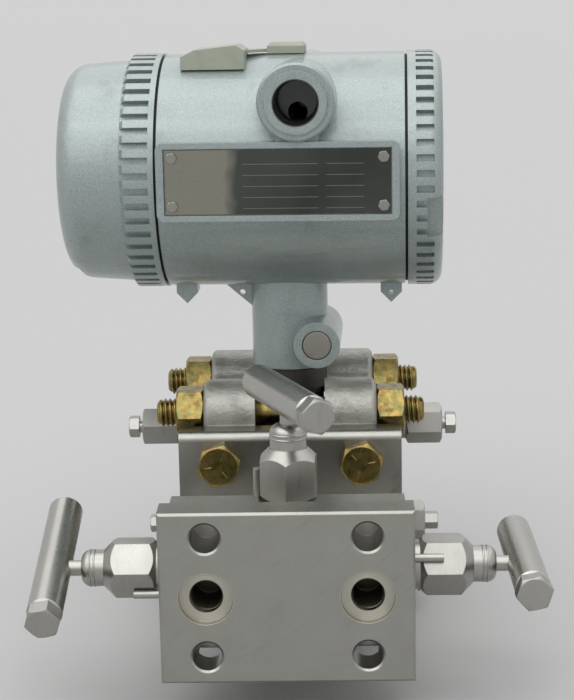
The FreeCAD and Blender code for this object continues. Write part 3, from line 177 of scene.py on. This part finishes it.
# Noises are size, detail and roughness; an edge is where a mask begins and where it is full.
drawn = {"cloud": (11, 3, 0.6), "cloudEdge": (0.3, 0.7), "cloudTone": 0.25, "grain": (0.45, 3, 0.7), "grainTone": 0.45,
         "scratch": (1.3, 2, 0.5), "scratchEdge": (0.6, 0.68), "scratchTone": 0.4, "hair": (0.7, 2, 0.5),
         "hairEdge": (0.63, 0.7), "hairLean": 62, "uneven": 0.12, "polish": 0.08,
         "cut": (0.52, 0.49, 0.41), "cutShare": 0.6, "paintedBoreShade": (0.085, 0.065, 0.045), "paintedBoreShadeShare": 0.8}
steels = {
    "forgedSteel": {"colour": (0.38, 0.376, 0.345), "shade": (0.26, 0.257, 0.236), "roughness": 0.2,
                    "stretch": (0.3, 0.3, 1), "lean": 38, "marks": 0.35, "bores": ports},
    "turnedSteel": {"colour": (0.42, 0.413, 0.384), "shade": (0.29, 0.284, 0.263), "roughness": 0.2,
                    "stretch": (1, 0.3, 0.3), "depth": 0.006},
    "barSteel": {"colour": (0.47, 0.462, 0.432), "shade": (0.34, 0.334, 0.31), "roughness": 0.17,
                 "stretch": (1, 0.5, 1), "marks": 0.04, "depth": 0.002},
    "darkSteel": {"colour": (0.10, 0.096, 0.09), "shade": (0.045, 0.043, 0.04), "roughness": 0.42,
                  "stretch": (1, 1, 0.3)},
    "brightSheet": {"colour": (0.55, 0.55, 0.54), "shade": (0.45, 0.45, 0.44), "roughness": 0.18,
                    "stretch": (1, 1, 1)},
    "screwSteel": {"colour": (0.34, 0.335, 0.31), "shade": (0.22, 0.216, 0.2), "roughness": 0.26,
                   "stretch": (1, 1, 0.4)},
    "plugSteel": {"colour": (0.44, 0.42, 0.38), "shade": (0.30, 0.29, 0.26), "roughness": 0.24,
                  "stretch": (0.4, 1, 1), "lean": 20, "marks": 0.8},
}


def satinSteel(name, colour, shade, roughness, stretch, lean=0, marks=0.4, depth=0.012, bores=()):
    # rolled or turned steel: drawn grain along one way, fine scratches and a slow change of tone
    graph = Graph(name, Metallic=1)
    cloud = graph.noise(*drawn["cloud"])
    grain = graph.noise(*drawn["grain"], stretch)
    long = [value ** 2 for value in stretch]
    scratch = graph.step(graph.noise(*drawn["scratch"], long, lean), *drawn["scratchEdge"])
    hair = graph.step(graph.noise(*drawn["hair"], long, lean + drawn["hairLean"]), *drawn["hairEdge"])
    tone = graph.step(cloud, *drawn["cloudEdge"]) * drawn["cloudTone"] + grain * drawn["grainTone"]
    tone = tone + scratch * marks * drawn["scratchTone"]
    rough = roughness + drawn["uneven"] * cloud + drawn["uneven"] * grain
    base = graph.blend(tone, colour, shade)
    for bore in bores:  # freshly cut seats round the ports, and painted shade darkening their threads
        base = graph.blend(graph.inside(bore, holes["seat"]) * drawn["cutShare"], base, drawn["cut"])
        # painted shade: the port bores are darkened inside, where the hole is in shade
        base = graph.blend(graph.inside(bore, holes["port"]) * drawn["paintedBoreShadeShare"], base, drawn["paintedBoreShade"])
    return graph.dress(base, rough - drawn["polish"] * marks * (scratch + hair), grain - marks * (scratch + hair),
                       depth)


cast = {"colour": (0.37, 0.366, 0.336), "pit": (0.18, 0.176, 0.16), "rust": (0.2, 0.14, 0.085), "roughness": 0.36,
        "lumps": (1.7, 4, 0.62), "uneven": 0.22, "cell": 1.1, "cellEdge": (0.02, 0.3), "pitShare": 0.25,
        "stain": (8, 4), "stainEdge": (0.5, 0.74), "stainShare": 0.5, "rusty": (5, 5, 0.65),
        "rustyEdge": (0.6, 0.72), "rustyShare": 0.3, "depth": 0.32}


def castSteel():
    graph = Graph("castSteel", Metallic=0.85)
    lumps = graph.noise(*cast["lumps"])
    pits = graph.step(graph.cells(cast["cell"]), *cast["cellEdge"])
    stain = graph.step(graph.noise(*cast["stain"]), *cast["stainEdge"])
    rust = graph.step(graph.noise(*cast["rusty"]), *cast["rustyEdge"])
    tone = graph.blend(stain * cast["stainShare"], cast["colour"], cast["pit"])
    tone = graph.blend(rust * cast["rustyShare"], tone, cast["rust"])
    colour = graph.blend((1 - pits) * cast["pitShare"], tone, cast["pit"])
    return graph.dress(colour, cast["roughness"] + cast["uneven"] * lumps, lumps + cast["pitShare"] * pits,
                       cast["depth"])


zinc = {"colour": (0.33, 0.235, 0.078), "green": (0.20, 0.192, 0.072), "worn": (0.16, 0.095, 0.04),
        "tint": (3.4, 3), "tintEdge": (0.4, 0.62), "wear": (3.2, 4, 0.6), "wearEdge": (0.45, 0.7), "wearShare": 0.75,
        "roughness": 0.26, "uneven": 0.22, "grain": (0.35, 2), "wornRelief": 0.4, "depth": 0.02}


def yellowZinc():
    graph = Graph("yellowZinc", Metallic=1)
    tint = graph.step(graph.noise(*zinc["tint"]), *zinc["tintEdge"])
    worn = graph.step(graph.noise(*zinc["wear"]), *zinc["wearEdge"])
    plating = graph.blend(tint, zinc["colour"], zinc["green"])
    colour = graph.blend(worn * zinc["wearShare"], plating, zinc["worn"])
    height = graph.noise(*zinc["grain"]) + zinc["wornRelief"] * worn
    return graph.dress(colour, zinc["roughness"] + zinc["uneven"] * worn, height, zinc["depth"])


paint = {"colour": (0.30, 0.355, 0.347), "fleck": (0.60, 0.67, 0.655), "dark": (0.20, 0.24, 0.236),
         "grime": (0.14, 0.16, 0.155), "paintedBoreShade": (0.035, 0.038, 0.034), "paintedBoreShadeShare": 0.9,
         "flecks": (0.26, 2, 0.7), "flecksEdge": (0.5, 0.7), "fleckShare": 0.55, "fleckRelief": 0.2,
         "shade": (0.5, 3, 0.7), "shadeEdge": (0.46, 0.62), "shadeShare": 0.5, "wave": (2.2, 3, 0.55),
         "settled": (16, 5, 0.62), "settledEdge": (0.56, 0.8), "settledShare": 0.4,
         "roughness": 0.34, "uneven": 0.12, "depth": 0.16}


def silverPaint():
    # sprayed metallic paint: fine bright flakes, orange peel and a little settled dirt
    graph = Graph("silverPaint", Metallic=0.55, Coat_Weight=0.6, Coat_Roughness=0.1)
    fleck = graph.step(graph.noise(*paint["flecks"]), *paint["flecksEdge"])
    shade = graph.step(graph.noise(*paint["shade"]), *paint["shadeEdge"])
    wave = graph.noise(*paint["wave"])
    grime = graph.step(graph.noise(*paint["settled"]), *paint["settledEdge"])
    base = graph.blend(shade * paint["shadeShare"], paint["colour"], paint["dark"])
    base = graph.blend(fleck * paint["fleckShare"], base, paint["fleck"])
    base = graph.blend(grime * paint["settledShare"], base, paint["grime"])
    # painted shade: the conduit bore is darkened inside, where the hole is in shade
    bore = graph.inside("conduit_entry", holes["conduit"])
    colour = graph.blend(bore * paint["paintedBoreShadeShare"], base, paint["paintedBoreShade"])
    rough = paint["roughness"] + paint["uneven"] * wave + paint["uneven"] * grime
    return graph.dress(colour, rough, wave + paint["fleckRelief"] * fleck, paint["depth"])


tag = {"colour": (0.085, 0.092, 0.082), "dull": (0.055, 0.06, 0.054), "paintedReflection": (0.27, 0.268, 0.225),
       "line": (0.20, 0.205, 0.185), "lineShare": 0.8, "rowGap": 4.1, "rowWidth": 0.24, "firstRow": 2.2,
       "below": 2.0, "above": 1.8, "left": 29, "right": 10, "gapStart": 57, "gapEnd": 60,
       "grain": (0.4, 3, 0.6, (0.06, 1, 1)), "grainRelief": 0.25, "smear": (9, 4, 0.6), "cloud": (30, 2),
       "cloudEdge": (0.35, 0.65), "field": 27, "fieldFade": 5, "fieldWave": (12, 2), "fieldSway": 9,
       "roughness": 0.06, "smearRough": 0.08, "grainRough": 0.05, "fieldRough": 0.16, "depth": 0.03}


def tagSteel():
    # a lighter beige field at one end, a painted reflection over a rougher satin finish, and polished steel with plain
    # ruled rows on the rest
    graph = Graph("tagSteel", Metallic=1)
    low, high = [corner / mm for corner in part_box("nameplate")]
    across, up = [graph.add("ShaderNodeSeparateXYZ", {}, {0: graph.place()}, axis) for axis in ("X", "Z")]
    rows = graph.maths("PINGPONG", up - (low.z + tag["firstRow"]), tag["rowGap"] / 2)
    inRows = ((up > low.z + tag["below"]) * (up < high.z - tag["above"])
              * (across > low.x + tag["left"]) * (across < high.x - tag["right"]))
    gap = (across > low.x + tag["gapStart"]) * (across < low.x + tag["gapEnd"])
    line = (rows < tag["rowWidth"] / 2) * inRows * (1 - gap)
    grain = graph.noise(*tag["grain"])
    smear = graph.noise(*tag["smear"])
    dull = graph.step(graph.noise(*tag["cloud"]), *tag["cloudEdge"])
    rim = low.x + tag["field"]
    field = 1 - graph.step(across + tag["fieldSway"] * graph.noise(*tag["fieldWave"]), rim, rim + tag["fieldFade"])
    # the beige end field is a painted reflection; its extra roughness is the satin finish
    base = graph.blend(field, graph.blend(dull, tag["colour"], tag["dull"]), tag["paintedReflection"])
    rough = (tag["roughness"] + tag["smearRough"] * smear + tag["grainRough"] * grain
             + tag["fieldRough"] * field)
    colour = graph.blend(line * tag["lineShare"], base, tag["line"])
    return graph.dress(colour, rough, grain * tag["grainRelief"] - line, tag["depth"])


moulded = {"cloud": (6, 3), "cloudShare": 0.7, "grain": (0.3, 2), "uneven": 0.12, "dust": (3, 4, 0.65),
           "dustEdge": (0.55, 0.75), "dustShare": 0.3, "depth": 0.05}
plastics = {
    "blackRubber": {"colour": (0.012, 0.012, 0.012), "shade": (0.03, 0.03, 0.03), "roughness": 0.5},
    "blackPacking": {"colour": (0.04, 0.04, 0.04), "shade": (0.07, 0.07, 0.07), "roughness": 0.6},
    "moduleBlack": {"colour": (0.02, 0.022, 0.025), "shade": (0.035, 0.037, 0.04), "roughness": 0.4},
    "blockGrey": {"colour": (0.06, 0.06, 0.062), "shade": (0.085, 0.085, 0.09), "roughness": 0.45},
    "capPlastic": {"colour": (0.40, 0.425, 0.345), "shade": (0.30, 0.32, 0.255), "roughness": 0.36},
}


def plainPlastic(name, colour, shade, roughness):
    graph = Graph(name)
    cloud = graph.noise(*moulded["cloud"])
    grain = graph.noise(*moulded["grain"])
    dust = graph.step(graph.noise(*moulded["dust"]), *moulded["dustEdge"])
    tone = cloud * moulded["cloudShare"] + dust * moulded["dustShare"]
    return graph.dress(graph.blend(tone, colour, shade), roughness + moulded["uneven"] * grain, grain,
                       moulded["depth"])


finishes = {"castSteel": castSteel(), "yellowZinc": yellowZinc(), "silverPaint": silverPaint(),
            "tagSteel": tagSteel()}
finishes.update({name: satinSteel(name, **settings) for name, settings in steels.items()})
finishes.update({name: plainPlastic(name, **settings) for name, settings in plastics.items()})
slotFinish = {
    "forged_steel": "forgedSteel", "valve_steel": "turnedSteel", "bar_steel": "barSteel",
    "cast_steel": "castSteel", "zinc_steel": "yellowZinc", "cast_aluminium": "silverPaint",
    "tag_steel": "tagSteel", "sensor_steel": "darkSteel", "thin_steel": "brightSheet",
    "screw_steel": "screwSteel", "plug_steel": "plugSteel", "seal_rubber": "blackRubber",
    "packing_black": "blackPacking", "module_plastic": "moduleBlack", "block_plastic": "blockGrey",
    "cap_plastic": "capPlastic",
}
for part in frame["record"]["subparts"]:
    for holder in nodes[part["node"]].material_slots:
        holder.material = finishes[slotFinish[part["material_slot"]]]
print("finishes made:", len(finishes))


def stand(name, data):
    made = bpy.data.objects.new(name, data)
    bpy.context.scene.collection.objects.link(made)
    return made


def piece(name, points, faces, finish, body, smooth=True):
    mesh = bpy.data.meshes.new(name)
    mesh.from_pydata(points, [], faces)
    mesh.materials.append(finishes[finish])
    mesh.polygons.foreach_set("use_smooth", [smooth] * len(mesh.polygons))
    made = stand(name, mesh)
    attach(made, body)
    return made


ridge = {"section": ((-0.42, 0), (-0.1, 1), (0.1, 1), (0.42, 0)), "foot": 0.06, "taper": 0.4}


def spiral(radius, depth, pitch, start, end, steps=28):
    # a thread ridge about X, tapering out at both ends; a negative depth points inwards
    count = int((end - start - pitch) / pitch * steps)
    taper = steps * ridge["taper"]
    points, faces = [], []
    for turn in range(count + 1):
        angle = 2 * math.pi * turn / steps
        full = min(1, turn / taper, (count - turn) / taper)
        for along, high in ridge["section"]:
            out = radius + depth * (high * full if high else -ridge["foot"])
            points.append(Vector((start + pitch * (0.5 + turn / steps + along), out * math.cos(angle),
                                  out * math.sin(angle))))
    for turn in range(count):
        for side in range(3):
            corner = turn * 4 + side
            faces.append((corner, corner + 1, corner + 5, corner + 4))
    return points, faces


def lathe(rows, steps, caps=False):  # a surface turned about X, through rows of place and radius
    turns = [(math.cos(2 * math.pi * k / steps), math.sin(2 * math.pi * k / steps)) for k in range(steps)]
    points = [Vector((x, radius * y, radius * z)) for x, radius in rows for y, z in turns]
    faces = [(row + k, row + (k + 1) % steps, row + steps + (k + 1) % steps, row + steps + k)
             for row in range(0, len(points) - steps, steps) for k in range(steps)]
    if caps:
        faces += [tuple(range(steps))[::-1], tuple(range(len(points) - steps, len(points)))]
    return points, faces


def rod(radius, start, end, bevel):
    return lathe(((start, radius - bevel), (start + bevel, radius), (end - bevel, radius), (end, radius - bevel)),
                 40, True)


def hump(wide, high, foot=0):  # the section of a low ridge
    return (-wide / 2, foot), (-wide / 4, high), (wide / 4, high), (wide / 2, foot)


def gather(parts):
    points, faces = [], []
    for spot, (some, theirs) in parts:
        base = len(points)
        points += [spot @ point * mm for point in some]
        faces += [tuple(base + corner for corner in face) for face in theirs]
    return points, faces


def into(name, depth=0):  # the place and direction of a mount's bore, with X running inwards
    place, axis = Vector(mounts[name]["pos_m"]) / mm, -Vector(mounts[name]["axis"])
    upright = axis.cross(Vector((0, 0, 1)))
    turn = Matrix((axis, upright, axis.cross(upright))).transposed().to_4x4()
    return Matrix.Translation(place + axis * depth) @ turn


studs = {"radius": 5.5, "pitch": 1.81, "depth": 0.9, "threadLong": 26, "bevel": 0.8, "shankBevel": 0.6,
         "shankUnder": 0.05}


def threadedStuds():
    low, high = [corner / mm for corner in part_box("flange_studs")]
    radius, root = studs["radius"], studs["radius"] - studs["depth"]
    first, last = low.x + studs["threadLong"], high.x - studs["threadLong"]
    parts = []
    for y in (low.y + radius, high.y - radius):
        for z in (low.z + radius, high.z - radius):
            spot = Matrix.Translation((0, y, z))
            parts.append((spot, rod(root, low.x, high.x, studs["bevel"])))
            parts.append((spot, rod(radius - studs["shankUnder"], first, last, studs["shankBevel"])))
            for start, end in ((low.x, first), (last, high.x)):
                parts.append((spot, spiral(root, studs["depth"], studs["pitch"], start, end)))
    made = piece("threadedStuds", *gather(parts), "yellowZinc", "manifold")
    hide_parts("flange_studs")


threadedStuds()
tapped = {"port": {"depth": -0.55, "pitch": 1.41, "start": 0.3, "end": 19.0},
          "conduit": {"depth": -0.85, "pitch": 1.81, "start": 0.4, "end": 15.5, "steps": 40}}


def holeThreads():
    parts = []
    for name in ports:
        half, radius = mounts[name]["dims"]["length_mm"] / 2, mounts[name]["dims"]["r_mm"]
        parts.append((into(name, -half), spiral(radius, **tapped["port"])))
    piece("portThreads", *gather(parts), "forgedSteel", "manifold")
    thread = spiral(mounts["conduit_entry"]["dims"]["r_mm"], **tapped["conduit"])
    # the conduit thread takes the dark steel finish as painted shade inside the bore
    made = piece("conduitThread", *gather([(into("conduit_entry"), thread)]), "darkSteel", "housing_body")


holeThreads()
cutRings = {"first": 6.3, "gap": 0.62, "count": 5, "wide": 0.4, "high": 0.09, "face": 2.4, "sunk": 0.02, "steps": 64}


def seatRings():  # the turned grooves' ridges on the raised face round each port
    foot = cutRings["face"] + cutRings["sunk"]
    parts = []
    for name in ports:
        front = into(name, -mounts[name]["pos_m"][1] / mm)
        for count in range(cutRings["count"]):
            radius = cutRings["first"] + cutRings["gap"] * count
            rows = [(foot - out, radius + off) for off, out in hump(cutRings["wide"], cutRings["high"])]
            parts.append((front, lathe(rows, cutRings["steps"])))
    piece("seatRings", *gather(parts), "forgedSteel", "manifold")


seatRings()
marks = {"across": 27.0, "up": 20.65, "out": 4.0, "length": 3.0, "topLong": 0.93, "width": 0.55, "topWide": 0.5,
         "high": 0.16, "sunk": 0.02, "turn": 20, "spread": 27}


def bar():  # a low raised mark along Y, with sloping sides, on a face across X
    foot = (marks["sunk"], marks["length"], marks["width"])
    top = (marks["sunk"] - marks["high"], marks["length"] * marks["topLong"], marks["width"] * marks["topWide"])
    points = [Vector((x, y * length / 2, z * width / 2)) for x, length, width in (foot, top)
              for y, z in ((-1, -1), (1, -1), (1, 1), (-1, 1))]
    return points, [(4, 5, 6, 7), (0, 1, 5, 4), (1, 2, 6, 5), (2, 3, 7, 6), (3, 0, 4, 7)]


def gradeMarks():  # three plain marks on each bolt's head
    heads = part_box("manifold_bolts")[0].y / mm
    inwards = Matrix.Rotation(math.radians(90), 4, "Z")
    out = Matrix.Translation((0, marks["out"], 0))
    parts = []
    for side in (-1, 1):
        for z in (-marks["up"], marks["up"]):
            for third in range(3):
                angle = marks["turn"] + 120 * third + side * marks["spread"]
                spin = Matrix.Rotation(math.radians(angle), 4, "X")
                place = Matrix.Translation((side * marks["across"], heads, z)) @ inwards @ spin @ out
                parts.append((place, bar()))
    piece("gradeMarks", *gather(parts), "yellowZinc", "manifold", False)


gradeMarks()
collars = {"radius": 6.4, "wide": 0.9, "high": 0.22, "sunk": 0.1, "back": 3.2, "apart": 1.5, "steps": 64}


def bonnetCollars():  # two thin raised bands near each bonnet's outer end
    section = hump(collars["wide"], collars["high"], -collars["sunk"])
    parts = []
    for node, axis in (("left_bonnet", (-1, 0, 0)), ("right_bonnet", (1, 0, 0)), ("equalizer_bonnet", (0, 0, 1))):
        low, high = [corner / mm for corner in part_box(node)]
        along, middle = Vector(axis), (low + high) / 2
        first = middle + along * (abs((high - middle).dot(along)) - collars["back"])
        turn = along.to_track_quat("X", "Z").to_matrix().to_4x4()
        for step in (0, collars["apart"]):
            rows = [(-spot, collars["radius"] + out) for spot, out in section]
            parts.append((Matrix.Translation(first - along * step) @ turn, lathe(rows, collars["steps"])))
    piece("bonnetCollars", *gather(parts), "turnedSteel", "manifold")


bonnetCollars()
print("threads, rings and grade marks made")
look = {"lens": 92.2, "sensor": 36, "near": 0.01, "place": (13.8, -564.2, 207.1), "down": 12.28, "aside": 1.24,
        "lean": -1.08}


def camera():
    down, aside, lean = [math.radians(look[name]) for name in ("down", "aside", "lean")]
    ahead = Vector((-math.sin(aside) * math.cos(down), math.cos(aside) * math.cos(down), -math.sin(down)))
    right = Vector((math.cos(aside), math.sin(aside), 0))
    up = right.cross(ahead)
    tilted = right * math.cos(lean) + up * math.sin(lean)
    upright = up * math.cos(lean) - right * math.sin(lean)
    lens = bpy.data.cameras.new("camera")
    lens.lens = look["lens"]
    lens.sensor_width = look["sensor"]
    lens.clip_start = look["near"]
    holder = stand("camera", lens)
    turn = Matrix((tilted, upright, -ahead)).transposed().to_4x4()
    holder.matrix_world = Matrix.Translation(Vector(look["place"]) * mm) @ turn
    bpy.context.scene.camera = holder


studio = {
    "floor": 0.52, "floorRough": 0.75, "reach": 60, "fill": 0.42, "horizon": 0.64, "overhead": 0.85, "top": 0.9,
    "suns": (("keySun", (-0.45, -0.6, 1.3), 88, 1.6), ("topSun", (0.15, 0.5, 1.0), 80, 0.75),
             ("fillSun", (1.0, -0.6, 0.6), 90, 0.3)),
    "strip": {"place": (-0.35, -0.55, 1.05), "size": (1.5, 0.2), "power": 1.2},
}


def plainFloor():
    low, reach = cadBox[0].z, studio["reach"]
    mesh = bpy.data.meshes.new("floor")
    corners = [(x * reach, y * reach, low) for x, y in ((-1, -1), (1, -1), (1, 1), (-1, 1))]
    mesh.from_pydata(corners, [], [(0, 1, 2, 3)])
    graph = Graph("paleFloor", Roughness=studio["floorRough"])
    mesh.materials.append(graph.dress((studio["floor"],) * 3))
    stand("floor", mesh)


def lamps():
    for name, spot, angle, strength in studio["suns"]:
        lamp = bpy.data.lights.new(name, "SUN")
        lamp.angle = math.radians(angle)
        lamp.energy = strength
        holder = stand(name, lamp)
        holder.rotation_mode = "QUATERNION"
        holder.rotation_quaternion = (-Vector(spot)).to_track_quat("-Z", "Y")
    strip = studio["strip"]
    lamp = bpy.data.lights.new("stripLamp", "AREA")
    lamp.shape = "RECTANGLE"
    lamp.size, lamp.size_y = strip["size"]
    lamp.energy = strip["power"]
    ahead = (cadBox[0] + cadBox[1]) / 2 - Vector(strip["place"])
    turn = ahead.to_track_quat("-Z", "Y").to_matrix().to_4x4()
    stand("stripLamp", lamp).matrix_world = Matrix.Translation(strip["place"]) @ turn


def surroundings():  # a backdrop for what is seen or mirrored, and a weaker even light for the rest
    world = bpy.data.worlds.new("studio")
    world.use_nodes = True
    sky = Graph.around(world)
    spot = sky.add("ShaderNodeTexCoord", {}, {}, "Generated")
    height = sky.add("ShaderNodeSeparateXYZ", {}, {0: spot}, "Z")
    seen, mirrored, through = [sky.add("ShaderNodeLightPath", {}, {}, f"Is {kind} Ray")
                               for kind in ("Camera", "Glossy", "Transmission")]
    direct = sky.step(seen + mirrored + through, 0, 1)
    rise = studio["overhead"] - studio["horizon"]
    backdrop = studio["horizon"] + rise * sky.step(height, 0, studio["top"])
    sky.feed(sky.shader.inputs["Color"], (1, 1, 1))
    sky.feed(sky.shader.inputs["Strength"], direct * backdrop + (1 - direct) * studio["fill"])
    bpy.context.scene.world = world
    bpy.context.scene.view_settings.view_transform = "Standard"


camera()
plainFloor()
lamps()
surroundings()
print("studio made")
